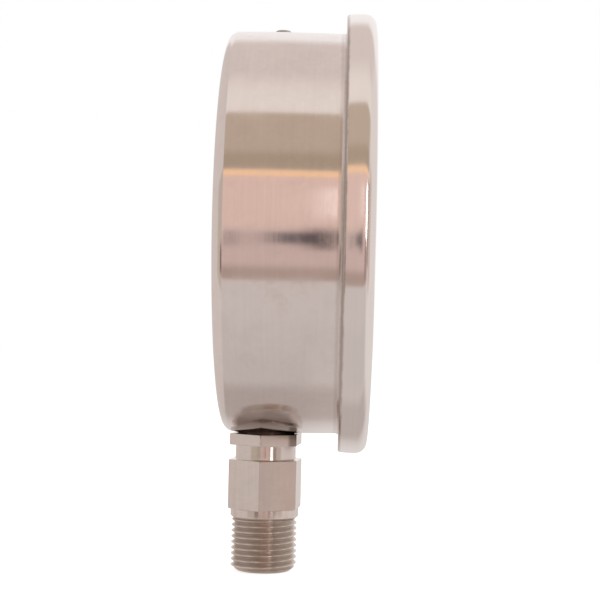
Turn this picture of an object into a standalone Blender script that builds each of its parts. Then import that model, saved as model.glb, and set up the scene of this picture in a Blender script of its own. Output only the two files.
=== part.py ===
"""Stainless process pressure gauge, 125 mm class, bottom connection G 1/2 (14 threads per inch).

Frame: metres, +Z up, the dial faces -Y, so front is -Y and right is +X. The
origin is the centre of the flat back face of the case, on the dial axis. The
stem points down (-Z).

All dimensions below are in millimetres; MM turns them into metres. Lathe
profiles list (radius, distance along the axis). Outlines and places in the
dial plane are (x, z). A pair named ..._Y or span is (one end, other end).
"""
import math

import bmesh
import bpy
from mathutils import Matrix, Vector

MM = 0.001
SHARP_ANGLE = math.radians(35)

# ---- enclosure -----------------------------------------------------------
CASE_R = 63.05          # case wall, outer radius at both ends
CASE_CROWN = 0.25       # extra radius half-way along the wall
CASE_WALL = 1.2
CASE_INNER_R = CASE_R - CASE_WALL
CASE_CORNER = 3.4       # outer radius of the back corner
FLANGE_R = 67.6         # outward flange that the ring is rolled over
FLANGE_Y = -37.45       # back face of that flange
FLANGE_THICK = 1.0
RING_R = 69.2           # bezel ring, outer radius
RING_REAR_Y = -36.25
RING_FRONT_Y = -45.25
RING_FILLET = 3.1
RING_REAR_FILLET = 1.1
RING_WALL = 1.2
RING_REAR_WALL = 0.9
RING_REAR_BORE_R = CASE_R + 1.35
WINDOW_APERTURE_R = 60.5
APERTURE_CHAMFER = 0.5
GLASS_R = 67.6
GLASS_Y = (-40.55, -43.75)
GASKET_R = (61.5, 66.8)
GASKET_Y = (-38.75, -40.25)
PLUG_Y = -16.0          # fill plug, distance from the back face
PLUG_SHANK_R = 1.9
PLUG_HOLE_R = 2.2

# ---- stem ----------------------------------------------------------------
STEM_Y = -13.3          # stem axis, distance from the back face
TUBE_Y = -12.7          # middle of the socket block and of the tube
COLLAR_TOP = -63.55
COLLAR_BOTTOM = -67.15
COLLAR_ACROSS_FLATS = 21.3
NECK_R = 9.6
HEX_TOP = -71.8
HEX_BOTTOM = -87.35
HEX_ACROSS_FLATS = 21.6
HEX_TURN = math.radians(23.9)   # direction of one wrench flat, from +X
ROUND_R = 10.85
THREAD_TOP = -90.4
STEM_END = -107.2
THREAD_PITCH = 25.4 / 14
THREAD_R = 10.478       # G 1/2, over the crests
THREAD_DEPTH = 1.162
THREAD_CREST = 0.25     # flat on each crest
SPIGOT_R = 8.2
SPIGOT_TOP = -59.5
STEM_HOLE_R = 9.8       # in the case wall
BLOCK_HALF_X = 5.5
BLOCK_HALF_Y = 7.0
BLOCK_Z = (-60.4, -28.0)

# ---- Bourdon tube --------------------------------------------------------
TUBE_R = 38.0           # centre-line radius of the C
TUBE_START = 264.0      # degrees, inside the socket slot
TUBE_ROOT = 255.0       # degrees, where the free C begins
TUBE_END = 0.0
TUBE_BORE_END = TUBE_END + 1.2
TUBE_STEPS = 27
TUBE_WIDTH = 11.6
TUBE_THICK = 4.2
TUBE_WALL = 0.5
SLOT_MIDDLE = math.radians(259.2)   # of the socket slot, round the C
SLOT_HALF_LENGTH = 4.2
END_PIECE_X = (34.4, 41.6)

# ---- movement ------------------------------------------------------------
MODULE = 0.35
PINION_TEETH = 12
SECTOR_TEETH = 108              # teeth of the full circle the sector is cut from
PINION_PITCH_R = MODULE * PINION_TEETH / 2
SECTOR_PITCH_R = MODULE * SECTOR_TEETH / 2
CENTRE_DIST = MODULE * (PINION_TEETH + SECTOR_TEETH) / 2
SECTOR_DIR = math.radians(-55)  # from the dial axis to the sector arbor
SECTOR = (CENTRE_DIST * math.cos(SECTOR_DIR), CENTRE_DIST * math.sin(SECTOR_DIR))
SECTOR_SWING = 30.0             # degrees, full scale
SECTOR_HUB_R = 3.2
TAIL_LENGTH = 7.0               # sector arbor to link pin
TAIL_END_R = 1.5
TAIL_REST = math.radians(-53.0 - SECTOR_SWING / 2)
TAIL = (SECTOR[0] + TAIL_LENGTH * math.cos(TAIL_REST),
        SECTOR[1] + TAIL_LENGTH * math.sin(TAIL_REST))
TIP_PIN = (36.0, -8.0)          # link pin on the tube's end piece
TIP_HOLE_R = 0.9
LINK_EYE_R = 1.6
LINK_Y = (-24.1, -24.9)
LINK_CUT_Y = (-23.0, -26.0)
SECTOR_Y = (-22.6, -23.8)
SECTOR_CUT_Y = (-22.0, -25.0)
PINION_Y = (-22.0, -24.4)
BACK_PLATE_Y = (-20.0, -21.4)
BACK_CUT_Y = (-19.0, -22.5)
FRONT_PLATE_Y = (-28.0, -29.2)
FRONT_CUT_Y = (-27.0, -30.0)
DIAL_AXIS = (0, 0)
PINION_PIVOT_HOLE_R = 0.7
SECTOR_PIVOT_HOLE_R = 0.8
SPACER_FOOT_R = 0.9
PILLARS = ((-8.0, 5.0), (15.5, 5.0), (-8.0, -24.5))
MOUNT_SCREWS = ((-3.4, -31.5), (3.4, -31.5))
MOUNT_HOLE_R = 1.2
DIAL_POSTS = {"left": (-15.5, -3.0), "right": (15.5, -3.0)}

# ---- hairspring ----------------------------------------------------------
SPRING_TURNS = 5
SPRING_STEPS = 75
SPRING_START_R = 2.25
SPRING_GROWTH = 3.75            # radius gained over all turns
SPRING_HALF_THICK = 0.07
SPRING_Y = (-26.0, -27.1)

# ---- dial and pointer ----------------------------------------------------
DIAL_R = 61.0
DIAL_HOLE_R = 3.0
DIAL_Y = (-33.0, -33.8)
DIAL_CUT_Y = (-32.0, -35.0)
POINTER_REST = math.radians(225)
POINTER_LENGTH = 46.0
POINTER_BOSS_R = 4.3
POINTER_Y = (-35.6, -36.1)

# ---- looks ---------------------------------------------------------------
STEEL = dict(colour=(0.62, 0.58, 0.55), roughness=0.28, metallic=1.0)
BRASS = dict(colour=(0.76, 0.58, 0.30), roughness=0.35, metallic=1.0)
BRONZE = dict(colour=(0.70, 0.48, 0.26), roughness=0.35, metallic=1.0)
DARK = dict(colour=(0.02, 0.02, 0.02), roughness=0.6, metallic=0.0)
GLASS = dict(colour=(0.85, 0.92, 0.90), roughness=0.02, metallic=0.0)
DIAL_WHITE = dict(colour=(0.9, 0.9, 0.88), roughness=0.5, metallic=0.0)


# ==== building tools =======================================================
def material(name, colour, roughness, metallic):
    mat = bpy.data.materials.new(name)
    mat.use_nodes = True
    inputs = mat.node_tree.nodes["Principled BSDF"].inputs
    inputs["Base Color"].default_value = (*colour, 1.0)
    inputs["Roughness"].default_value = roughness
    inputs["Metallic"].default_value = metallic
    mat.diffuse_color = (*colour, 1.0)
    return mat


def finish(name, work, at, look):
    """Turn a bmesh (millimetres, relative to `at`) into a named object."""
    bmesh.ops.recalc_face_normals(work, faces=work.faces)
    bmesh.ops.scale(work, vec=(MM, MM, MM), verts=work.verts)
    mesh = bpy.data.meshes.new(name)
    work.to_mesh(mesh)
    work.free()
    mesh.shade_smooth()
    mesh.set_sharp_from_angle(angle=SHARP_ANGLE)
    obj = bpy.data.objects.new(name, mesh)
    obj.location = Vector(at) * MM
    bpy.context.scene.collection.objects.link(obj)
    if look is not None:
        mesh.materials.append(material(name + "_finish", **look))
    return obj


def boolean(obj, other, operation="DIFFERENCE"):
    """Cut or join with `other`, which becomes a hidden helper."""
    other.hide_render = True
    other.display_type = "WIRE"
    mod = obj.modifiers.new(operation.lower(), "BOOLEAN")
    mod.operation = operation
    mod.solver = "EXACT"
    mod.object = other


def attach(piece, parent):
    """Parent a piece without moving it."""
    piece.parent = parent
    piece.matrix_parent_inverse = Matrix.Translation(-parent.location)


def bridge(work, low, high):
    for k in range(len(low)):
        m = (k + 1) % len(low)
        work.faces.new((low[k], low[m], high[m], high[k]))


def lathe(name, profile, axis, at, segments, look, phase=0.0):
    """Revolve a closed profile about the Y or Z axis through `at`."""
    work = bmesh.new()
    rings = []
    for radius, along in profile:
        ring = []
        for k in range(1 if radius < 1e-6 else segments):
            angle = phase + 2 * math.pi * k / segments
            first, second = radius * math.cos(angle), radius * math.sin(angle)
            point = (first, along, second) if axis == "Y" else (first, second, along)
            ring.append(work.verts.new(point))
        rings.append(ring)
    for i, low in enumerate(rings):
        high = rings[(i + 1) % len(rings)]
        if len(low) > 1 and len(high) > 1:
            bridge(work, low, high)
        elif len(low) > 1 or len(high) > 1:
            for k in range(segments):
                m = (k + 1) % segments
                if len(low) == 1:
                    work.faces.new((low[0], high[k], high[m]))
                else:
                    work.faces.new((low[k], low[m], high[0]))
    return finish(name, work, at, look)


def turned(name, profile, segments, place=DIAL_AXIS, look=STEEL):
    """A lathed piece parallel to the dial axis."""
    return lathe(name, profile, "Y", (place[0], 0, place[1]), segments, look)


def upright(name, profile, segments, look=STEEL, y=STEM_Y, phase=0.0):
    """A lathed piece on a vertical axis, by default the stem's."""
    return lathe(name, profile, "Z", (0, y, 0), segments, look, phase)


def band(inner, outer, span):
    """Rectangular profile; an inner radius of 0 makes it solid."""
    start, end = span
    return [(inner, start), (outer, start), (outer, end), (inner, end)]


def prism(name, outline, span, place=DIAL_AXIS, look=STEEL):
    """Extrude an outline along Y over `span`, with its origin at `place`."""
    work = bmesh.new()
    first, second = ([work.verts.new((x - place[0], y, z - place[1])) for x, z in outline]
                     for y in span)
    work.faces.new(first)
    work.faces.new(list(reversed(second)))
    for k in range(len(first)):
        m = (k + 1) % len(first)
        work.faces.new((first[k], second[k], second[m], first[m]))
    return finish(name, work, (place[0], 0, place[1]), look)


def box(name, low, high, look=None, turn=0.0):
    """A box between two corners, turned about its own centre in the dial plane."""
    centre = [(p + q) / 2 for p, q in zip(low, high)]
    work = bmesh.new()
    bmesh.ops.create_cube(work, size=1.0)
    bmesh.ops.scale(work, vec=[q - p for p, q in zip(low, high)], verts=work.verts)
    bmesh.ops.rotate(work, cent=(0, 0, 0), matrix=Matrix.Rotation(-turn, 3, "Y"),
                     verts=work.verts)
    return finish(name, work, centre, look)


def arc(x, y, radius, start, end, steps):
    """Points on an arc, angles in degrees."""
    angles = [math.radians(start + (end - start) * k / steps) for k in range(steps + 1)]
    return [(x + radius * math.cos(angle), y + radius * math.sin(angle)) for angle in angles]


def hole(obj, radius, place, span, segments=16):
    boolean(obj, turned(obj.name + "_hole", band(0, radius, span), segments, place, None))


def screw(name, place, shank_r, head_r, stations):
    """Headed screw; stations: shank end, under the head, head rim, head crown."""
    end, under, rim, crown = stations
    turned(name, [(0, end), (shank_r, end), (shank_r, under), (head_r, under),
                  (head_r, rim), (0, crown)], 16, place)


def spacer(name, place, radius, bore_r, stations):
    """Post with a thin foot and a blind front bore.

    Stations: foot end, shoulder, front face, bottom of the bore.
    """
    foot, shoulder, front, bottom = stations
    turned(name, [(0, foot), (SPACER_FOOT_R, foot), (SPACER_FOOT_R, shoulder),
                  (radius, shoulder), (radius, front), (bore_r, front),
                  (bore_r, bottom), (0, bottom)], 16, place, BRASS)


# ==== enclosure ============================================================
def wall_radius(y):
    """The case wall is very slightly crowned along its length."""
    offset = (y - RING_REAR_Y / 2) / (RING_REAR_Y / 2)
    return CASE_R + CASE_CROWN * (1 - offset * offset)


def build_case():
    profile = [(0, 0.0)]
    profile += arc(CASE_R - CASE_CORNER, -CASE_CORNER, CASE_CORNER, 90, 0, 5)
    profile += [(wall_radius(y), y) for y in (-11.0, -20.0, -29.0)]
    # out to the flange, round its rim, and back along the inside
    profile += [
        (CASE_R, RING_REAR_Y + 0.2),
        (CASE_R + 0.35, FLANGE_Y + 0.35),
        (CASE_R + 1.2, FLANGE_Y),
        (FLANGE_R, FLANGE_Y),
        (FLANGE_R, FLANGE_Y - FLANGE_THICK),
        (CASE_R - 0.2, FLANGE_Y - FLANGE_THICK),
        (CASE_INNER_R, FLANGE_Y + 0.4),
        (CASE_INNER_R, -CASE_CORNER - 0.2),
        (CASE_INNER_R - 1.8, -CASE_WALL),
        (0, -CASE_WALL),
    ]
    case = turned("case", profile, 60)
    boolean(case, upright("case_stem_hole", band(0, STEM_HOLE_R, (-70, -50)), 32, None))
    boolean(case, upright("case_plug_hole", band(0, PLUG_HOLE_R, (50, 70)), 20, None, PLUG_Y))


def build_bezel_ring():
    profile = arc(RING_R - RING_REAR_FILLET, RING_REAR_Y - RING_REAR_FILLET,
                  RING_REAR_FILLET, 90, 0, 3)
    profile += arc(RING_R - RING_FILLET, RING_FRONT_Y + RING_FILLET, RING_FILLET, 0, -90, 5)
    profile += [
        (WINDOW_APERTURE_R + APERTURE_CHAMFER, RING_FRONT_Y),
        (WINDOW_APERTURE_R, RING_FRONT_Y + APERTURE_CHAMFER),
        (WINDOW_APERTURE_R, RING_FRONT_Y + RING_WALL),
        (RING_R - RING_WALL, RING_FRONT_Y + RING_WALL),
        (RING_R - RING_WALL, RING_REAR_Y - RING_REAR_WALL),
        (RING_REAR_BORE_R, RING_REAR_Y - RING_REAR_WALL),
        (RING_REAR_BORE_R, RING_REAR_Y),
    ]
    turned("bezel_ring", profile, 60)


def build_window():
    turned("window_glass", band(0, GLASS_R, GLASS_Y), 54, look=GLASS)
    turned("window_gasket", band(*GASKET_R, GASKET_Y), 54, look=DARK)


def build_fill_plug():
    profile = [(0, 60.4), (PLUG_SHANK_R - 0.3, 60.4), (PLUG_SHANK_R, 60.9),
               (PLUG_SHANK_R, 63.4), (2.6, 63.4), (2.6, 64.6), (2.2, 65.05),
               (1.3, 65.2), (0, 65.2)]
    upright("fill_plug", profile, 24, DARK, PLUG_Y)


# ==== stem =================================================================
def hexagon(name, across_flats, span):
    radius = across_flats / 2 / math.cos(math.pi / 6)
    return upright(name, band(0, radius, span), 6, None, phase=HEX_TURN + math.pi / 6)


def stem_profile():
    """Round parts of the stem, from the lower end up; the thread is cut as grooves."""
    root_r = THREAD_R - THREAD_DEPTH
    profile = [(0, STEM_END), (root_r - 0.2, STEM_END)]
    z = STEM_END + 1.6
    while z + THREAD_PITCH < THREAD_TOP - 0.2:
        profile += [(THREAD_R, z), (THREAD_R, z + THREAD_CREST),
                    (root_r, z + THREAD_CREST + (THREAD_PITCH - THREAD_CREST) / 2)]
        z += THREAD_PITCH
    return profile + [
        (THREAD_R, z),
        (THREAD_R - 0.7, THREAD_TOP),
        (ROUND_R, THREAD_TOP + 0.8),
        (ROUND_R, HEX_BOTTOM + 0.7),
        (NECK_R, HEX_BOTTOM + 0.7),
        (NECK_R, COLLAR_BOTTOM + 0.5),
        (SPIGOT_R, COLLAR_BOTTOM + 0.5),
        (SPIGOT_R, SPIGOT_TOP),
        (0, SPIGOT_TOP),
    ]


def wrench_hexagon():
    """Wrench hexagon with its corners chamfered."""
    corner = HEX_ACROSS_FLATS / 2 / math.cos(math.pi / 6)
    wrench = hexagon("stem_hex", HEX_ACROSS_FLATS, (HEX_BOTTOM, HEX_TOP))
    chamfer = [(0, HEX_BOTTOM - 1), (corner - 1.35, HEX_BOTTOM - 1),
               (corner + 0.4, HEX_BOTTOM + 0.75), (corner + 0.4, HEX_TOP - 0.5),
               (corner - 0.6, HEX_TOP + 0.6), (0, HEX_TOP + 0.6)]
    boolean(wrench, upright("stem_hex_chamfer", chamfer, 36, None), "INTERSECT")
    return wrench


def cut_passage(stem):
    """Inlet bore and riser, the slot the tube is brazed into, and the cross port."""
    inlet = [(0, -112), (3.5, -112), (3.5, -92.5), (1.5, -91), (1.5, -36.4), (0, -36.4)]
    boolean(stem, upright("stem_inlet", inlet, 20, None))
    x, z = TUBE_R * math.cos(SLOT_MIDDLE), TUBE_R * math.sin(SLOT_MIDDLE)
    low = (x - SLOT_HALF_LENGTH, TUBE_Y - TUBE_WIDTH / 2 - 0.3, z - TUBE_THICK / 2 - 0.6)
    high = (x + SLOT_HALF_LENGTH, TUBE_Y + TUBE_WIDTH / 2 + 0.3, z + TUBE_THICK / 2 + 0.6)
    boolean(stem, box("stem_slot", low, high, turn=SLOT_MIDDLE + math.pi / 2))
    boolean(stem, box("stem_cross_port", (-5.0, STEM_Y - 0.8, z - 1.3),
                      (0.6, STEM_Y + 0.8, z + 0.3)))


def build_stem():
    stem = upright("stem", stem_profile(), 28)
    boolean(stem, wrench_hexagon(), "UNION")
    boolean(stem, hexagon("stem_collar", COLLAR_ACROSS_FLATS, (COLLAR_BOTTOM, COLLAR_TOP)),
            "UNION")
    boolean(stem, box("stem_block", (-BLOCK_HALF_X, TUBE_Y - BLOCK_HALF_Y, BLOCK_Z[0]),
                      (BLOCK_HALF_X, TUBE_Y + BLOCK_HALF_Y, BLOCK_Z[1])), "UNION")
    cut_passage(stem)
    for place in MOUNT_SCREWS:
        hole(stem, MOUNT_HOLE_R, place, (-30.0, -14.2))


def build_weld_ring():
    inner = SPIGOT_R + 0.3
    outer = STEM_HOLE_R - 0.3
    upright("stem_weld_ring", [(inner, -63.25), (STEM_HOLE_R - 0.6, -63.25), (outer, -62.9),
                               (outer, -60.9), (inner, -60.9)], 32)


def build_restrictor():
    upright("restrictor_screw", [(0.5, -103.5), (3.0, -103.5), (3.2, -103.2), (3.2, -97.6),
                                 (3.0, -97.3), (0.5, -97.3)], 20, BRASS)


# ==== Bourdon tube =========================================================
def section_ring(work, section, radius, angle):
    """Place a (radial, y) section at a radius and angle about the Y axis."""
    return [work.verts.new(((radius + radial) * math.cos(angle), y,
                            (radius + radial) * math.sin(angle))) for radial, y in section]


def skin(work, rows):
    for low, high in zip(rows, rows[1:]):
        bridge(work, low, high)


def tube_section(width, thick, steps=5):
    """Flattened round section: (radial, along the dial axis) points."""
    half = width / 2 - thick / 2
    side = [(thick / 2 * math.cos(angle), half + thick / 2 * math.sin(angle))
            for angle in [math.pi * k / steps for k in range(steps + 1)]]
    return side + [(-radial, -y) for radial, y in side]


def sweep_tube(work, section, end):
    """Sweep a section round the C to `end` degrees."""
    rows = [section_ring(work, section, TUBE_R,
                         math.radians(TUBE_START + (end - TUBE_START) * k / TUBE_STEPS))
            for k in range(TUBE_STEPS + 1)]
    skin(work, rows)
    return rows


def build_bourdon_tube():
    work = bmesh.new()
    outside = sweep_tube(work, tube_section(TUBE_WIDTH, TUBE_THICK), TUBE_END)
    bore = tube_section(TUBE_WIDTH - 2 * TUBE_WALL, TUBE_THICK - 2 * TUBE_WALL)
    inside = sweep_tube(work, bore, TUBE_BORE_END)
    bridge(work, outside[0], inside[0])     # the open end, in the socket slot
    work.faces.new(outside[-1])             # the closed end, in the end piece
    work.faces.new(inside[-1])
    finish("bourdon_tube", work, (0, TUBE_Y, 0), BRONZE)


def build_tip_pivot():
    """Empty at the centroid of the free C, which an unrolling tube's tip turns about."""
    half_arc = math.radians(TUBE_ROOT - TUBE_END) / 2
    middle = math.radians(TUBE_ROOT + TUBE_END) / 2
    radius = TUBE_R * math.sin(half_arc) / half_arc
    pivot = bpy.data.objects.new("tube_tip_pivot", None)
    pivot.location = Vector((radius * math.cos(middle), TUBE_Y, radius * math.sin(middle))) * MM
    bpy.context.scene.collection.objects.link(pivot)
    return pivot


def build_end_piece():
    left, right = END_PIECE_X
    piece = box("tube_end_piece", (left, TUBE_Y - 7.2, -6.0), (right, TUBE_Y + 7.2, 2.5), BRASS)
    boolean(piece, box("end_arm", (left, -23.8, -10.0), (37.6, TUBE_Y + 3.0, -4.5)), "UNION")
    boolean(piece, box("end_pocket", (35.3, TUBE_Y - 6.1, -0.4), (40.5, TUBE_Y + 6.1, 4.0)))
    hole(piece, TIP_HOLE_R, TIP_PIN, (-30.0, -19.9))
    return piece


def link_pin(name, place, end):
    """Headed pin whose shank runs back to y = `end`."""
    return turned(name, [(0, -25.8), (1.0, -25.8), (1.2, -25.6), (1.2, -25.2), (0.6, -25.2),
                         (0.6, end), (0, end)], 20, place)


def build_tube_tip():
    pivot = build_tip_pivot()
    attach(build_end_piece(), pivot)
    attach(link_pin("link_pin_tip", TIP_PIN, -20.3), pivot)


# ==== link and gears =======================================================
def build_link():
    """Bar from the sector tail to the tube tip, with a round eye at each end."""
    along = math.degrees(math.atan2(TIP_PIN[1] - TAIL[1], TIP_PIN[0] - TAIL[0]))
    outline = arc(*TAIL, LINK_EYE_R, along + 40, along + 320, 12)
    outline += arc(*TIP_PIN, LINK_EYE_R, along + 220, along + 500, 12)
    link = prism("link", outline, LINK_Y, TAIL)
    hole(link, 0.7, TAIL, LINK_CUT_Y)
    hole(link, TIP_HOLE_R, TIP_PIN, LINK_CUT_Y)


def gear_tooth(centre, pitch_r, root_half):
    """Outline of one tooth at angle `centre`, from root to tip to root."""
    root, tip = pitch_r - 0.40, pitch_r + 0.30
    # radius, half-thickness along the arc
    steps = [(root, -root_half), (pitch_r, -0.20), (tip, -0.10),
             (tip, 0.10), (pitch_r, 0.20), (root, root_half)]
    return [(radius * math.cos(centre + half / radius), radius * math.sin(centre + half / radius))
            for radius, half in steps]


def build_sector_gear():
    mesh_dir = SECTOR_DIR + math.pi         # from the sector arbor to the dial axis
    tail = math.degrees(TAIL_REST)
    outline = []
    for k in range(-10, 3):
        outline += gear_tooth(mesh_dir + k * 2 * math.pi / SECTOR_TEETH, SECTOR_PITCH_R, 0.30)
    outline += arc(0, 0, SECTOR_HUB_R, 158, 264, 6)
    outline += arc(TAIL_LENGTH * math.cos(TAIL_REST), TAIL_LENGTH * math.sin(TAIL_REST),
                   TAIL_END_R, tail - 90, tail + 90, 6)
    outline += arc(0, 0, SECTOR_HUB_R, tail + 28, 62, 6)
    outline = [(SECTOR[0] + x, SECTOR[1] + z) for x, z in outline]
    gear = prism("sector_gear", outline, SECTOR_Y, SECTOR, BRASS)
    hole(gear, 1.7, SECTOR, SECTOR_CUT_Y, 20)
    hole(gear, 0.9, TAIL, SECTOR_CUT_Y)
    attach(link_pin("link_pin_sector", TAIL, -22.3), gear)


def build_sector_arbor():
    turned("sector_arbor", [(0, -20.3), (0.7, -20.3), (0.7, -21.8), (1.4, -21.8), (1.4, -27.6),
                            (0.7, -27.6), (0.7, -28.9), (0, -28.9)], 20, SECTOR)


def build_pinion_arbor():
    arbor = turned("pinion_arbor", [(0, -20.3), (0.6, -20.3), (0.6, -21.7), (0.9, -21.7),
                                    (0.9, -27.6), (0.6, -27.6), (0.6, -30.0), (0.5, -36.8),
                                    (0, -36.8)], 20)
    outline = []
    for k in range(PINION_TEETH):
        # half a tooth off the line of centres, so a gap meets the sector's tooth
        centre = SECTOR_DIR + (k + 0.5) * 2 * math.pi / PINION_TEETH
        outline += gear_tooth(centre, PINION_PITCH_R, 0.32)
    boolean(arbor, prism("pinion_teeth", outline, PINION_Y, look=None), "UNION")


# ==== hairspring ===========================================================
def build_hairspring():
    half = SPRING_HALF_THICK
    back, front = SPRING_Y
    section = ((-half, back), (half, back), (half, front), (-half, front))
    work = bmesh.new()
    rows = [section_ring(work, section, SPRING_START_R + SPRING_GROWTH * k / SPRING_STEPS,
                         2 * math.pi * SPRING_TURNS * k / SPRING_STEPS)
            for k in range(SPRING_STEPS + 1)]
    skin(work, rows)
    work.faces.new(rows[0])
    work.faces.new(rows[-1])
    finish("hairspring", work, (0, 0, 0), BRONZE)
    turned("hairspring_collet", band(1.2, 1.9, (-25.8, -27.3)), 20, look=BRASS)
    turned("hairspring_stud", band(0, 0.6, (-25.7, -27.7)), 16, (7.0, 0.4), BRASS)


# ==== movement frame =======================================================
def plate(name, outline, span, cut_span, pillar_hole_r):
    """Movement plate with its pivot and pillar holes."""
    obj = prism(name, outline, span, look=BRASS)
    hole(obj, PINION_PIVOT_HOLE_R, DIAL_AXIS, cut_span)
    hole(obj, SECTOR_PIVOT_HOLE_R, SECTOR, cut_span)
    for place in PILLARS:
        hole(obj, pillar_hole_r, place, cut_span)
    return obj


def build_plates():
    back_outline = [(-11, -27), (-7, -27), (-7, -35.5), (7, -35.5),
                    (7, -27), (19.5, -27), (19.5, 9), (-11, 9)]
    back = plate("movement_back_plate", back_outline, BACK_PLATE_Y, BACK_CUT_Y, 1.2)
    for place in MOUNT_SCREWS:
        hole(back, MOUNT_HOLE_R, place, BACK_CUT_Y)
    front_outline = [(-11, -27), (19.5, -27), (19.5, 9), (-11, 9),
                     (-11, 1), (-19.5, 1), (-19.5, -7), (-11, -7)]
    front = plate("movement_front_plate", front_outline, FRONT_PLATE_Y, FRONT_CUT_Y, 0.9)
    for place in DIAL_POSTS.values():
        hole(front, 1.2, place, FRONT_CUT_Y)


def build_movement_fasteners():
    for k, place in enumerate(PILLARS, 1):
        spacer(f"movement_pillar_{k}", place, 1.5, 0.9, (-20.2, -21.7, -27.7, -25.2))
        screw(f"plate_screw_{k}", place, 0.6, 1.35, (-25.5, -29.5, -30.1, -30.3))
    for k, place in enumerate(MOUNT_SCREWS, 1):
        screw(f"movement_mount_screw_{k}", place, 0.9, 1.7, (-15.0, -21.7, -22.6, -22.8))


# ==== dial and pointer =====================================================
def pointer_point(along, across):
    """(x, z) of a point given along and across the resting pointer."""
    cosine, sine = math.cos(POINTER_REST), math.sin(POINTER_REST)
    return along * cosine - across * sine, along * sine + across * cosine


def build_dial():
    dial = turned("dial", band(DIAL_HOLE_R, DIAL_R, DIAL_Y), 54, look=DIAL_WHITE)
    for side, place in DIAL_POSTS.items():
        hole(dial, 1.0, place, DIAL_CUT_Y)
        spacer(f"dial_post_{side}", place, 1.9, 1.0, (-28.2, -29.5, -32.7, -30.2))
        screw(f"dial_screw_{side}", place, 0.7, 2.0, (-30.5, -34.1, -34.6, -34.85))
    # the pointer rests 0.3 mm off the zero stop pin
    stop = pointer_point(30, 2.1)
    hole(dial, 0.9, stop, DIAL_CUT_Y)
    turned("zero_stop_pin", band(0, 0.6, (-32.9, -36.6)), 16, stop)


def build_pointer():
    shoulder = POINTER_LENGTH - 9
    # (along, across): tip, one side of the boss, tail, other side of the boss
    blade = [(POINTER_LENGTH, -0.25), (POINTER_LENGTH, 0.25), (shoulder, 0.8)]
    blade += arc(0, 0, POINTER_BOSS_R, 17, 163, 8)
    blade += [(-11.0, 1.6), (-18.0, 2.4), (-18.0, -2.4), (-11.0, -1.6)]
    blade += arc(0, 0, POINTER_BOSS_R, 197, 343, 8)
    blade += [(shoulder, -0.8)]
    pointer = prism("pointer", [pointer_point(*point) for point in blade], POINTER_Y, look=DARK)
    hole(pointer, 2.5, DIAL_AXIS, (-35.0, -37.0), 24)
    turned("pointer_hub", [(0.9, -34.5), (2.2, -34.5), (2.2, -36.4), (3.4, -36.4), (3.4, -37.0),
                           (2.6, -37.5), (0, -37.6), (0, -37.1), (0.9, -37.1)], 24, look=BRASS)


for leftover in list(bpy.data.objects):
    bpy.data.objects.remove(leftover, do_unlink=True)

build_case()
build_bezel_ring()
build_window()
build_fill_plug()
build_stem()
build_weld_ring()
build_restrictor()
build_bourdon_tube()
build_tube_tip()
build_link()
build_sector_gear()
build_sector_arbor()
build_pinion_arbor()
build_hairspring()
build_plates()
build_movement_fasteners()
build_dial()
build_pointer()
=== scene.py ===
# Round dial pressure gauge with a bottom stem.
# The case is turned about the Y axis: its back lies at y = 0 and the dial faces -Y.
# The stem points down (-Z) and the fill plug sits on top (+Z). Seen from the dial side,
# +X is to the right.
# Shapes are in millimetres. Shaders, lights and the floor are in metres.
import math
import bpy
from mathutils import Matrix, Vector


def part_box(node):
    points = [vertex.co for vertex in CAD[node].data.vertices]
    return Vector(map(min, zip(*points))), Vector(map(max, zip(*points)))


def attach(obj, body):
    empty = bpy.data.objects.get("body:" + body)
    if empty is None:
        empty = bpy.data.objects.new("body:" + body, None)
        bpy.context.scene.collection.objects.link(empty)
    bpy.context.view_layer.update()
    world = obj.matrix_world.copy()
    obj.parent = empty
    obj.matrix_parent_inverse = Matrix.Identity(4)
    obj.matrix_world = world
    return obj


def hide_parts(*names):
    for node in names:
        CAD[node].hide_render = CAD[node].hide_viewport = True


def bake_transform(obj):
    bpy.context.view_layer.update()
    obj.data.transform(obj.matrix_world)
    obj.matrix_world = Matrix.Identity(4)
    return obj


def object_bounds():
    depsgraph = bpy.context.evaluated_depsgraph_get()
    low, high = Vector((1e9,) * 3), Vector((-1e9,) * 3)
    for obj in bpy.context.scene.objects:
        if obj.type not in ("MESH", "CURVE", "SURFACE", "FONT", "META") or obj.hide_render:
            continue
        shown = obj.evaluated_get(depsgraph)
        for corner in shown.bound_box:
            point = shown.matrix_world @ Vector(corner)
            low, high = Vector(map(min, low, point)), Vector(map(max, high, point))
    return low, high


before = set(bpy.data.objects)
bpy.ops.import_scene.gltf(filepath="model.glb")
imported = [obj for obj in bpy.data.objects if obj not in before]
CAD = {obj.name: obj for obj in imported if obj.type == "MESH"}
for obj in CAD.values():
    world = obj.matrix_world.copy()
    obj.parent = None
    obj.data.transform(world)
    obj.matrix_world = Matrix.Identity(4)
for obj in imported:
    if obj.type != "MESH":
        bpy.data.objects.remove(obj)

from types import SimpleNamespace

import bmesh
import bpy
from mathutils import Matrix, Vector

cad_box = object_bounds()

MM = 0.001


# --------------------------------------------------------------------------
# driving dimensions, millimetres
# --------------------------------------------------------------------------
def mm_box(name):
    low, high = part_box(name)
    return [v / MM for v in low], [v / MM for v in high]


case_low, case_high = mm_box("case")
ring_low, ring_high = mm_box("bezel_ring")
glass_low, glass_high = mm_box("window_glass")
gasket_low, gasket_high = mm_box("window_gasket")
dial_low, dial_high = mm_box("dial")
stem_low, stem_high = mm_box("stem")
plug_low, plug_high = mm_box("fill_plug")
pointer_low, pointer_high = mm_box("pointer")
pin_low, pin_high = mm_box("zero_stop_pin")

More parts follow.
